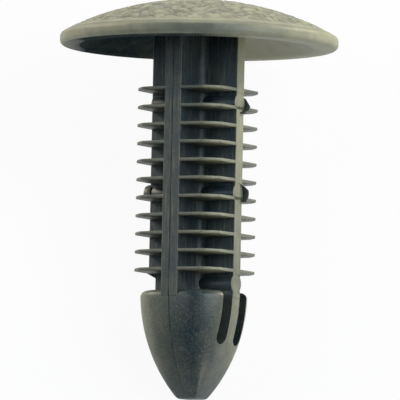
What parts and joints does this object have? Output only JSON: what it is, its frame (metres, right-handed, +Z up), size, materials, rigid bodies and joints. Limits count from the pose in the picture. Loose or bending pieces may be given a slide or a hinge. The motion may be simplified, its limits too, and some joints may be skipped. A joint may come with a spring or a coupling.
{
  "type": "push-in fir-tree clip",
  "caption": "One-piece black nylon push-in fir-tree clip: grained mushroom head with a hollow underside, cross-ribbed shank with thin flexible fins and a slotted bullet nose.",
  "frame": {"origin": "on the floor, below the middle of the clip as it lies on the rim of its head and the side of its nose", "axes": "+Z up, +Y along the clip towards the head, +X to the right seen from above with the head at the far end; the shank's own axis rises 17.25 degrees from +Y towards +Z"},
  "size_m": [0.0198, 0.0284, 0.0191],
  "materials": {
    "black_nylon": "satin black nylon, with a fine leather grain on the domed top of the head only"
  },
  "bodies": {
    "root": {"fir_tree_clip": "black_nylon"}
  },
  "joints": []
}
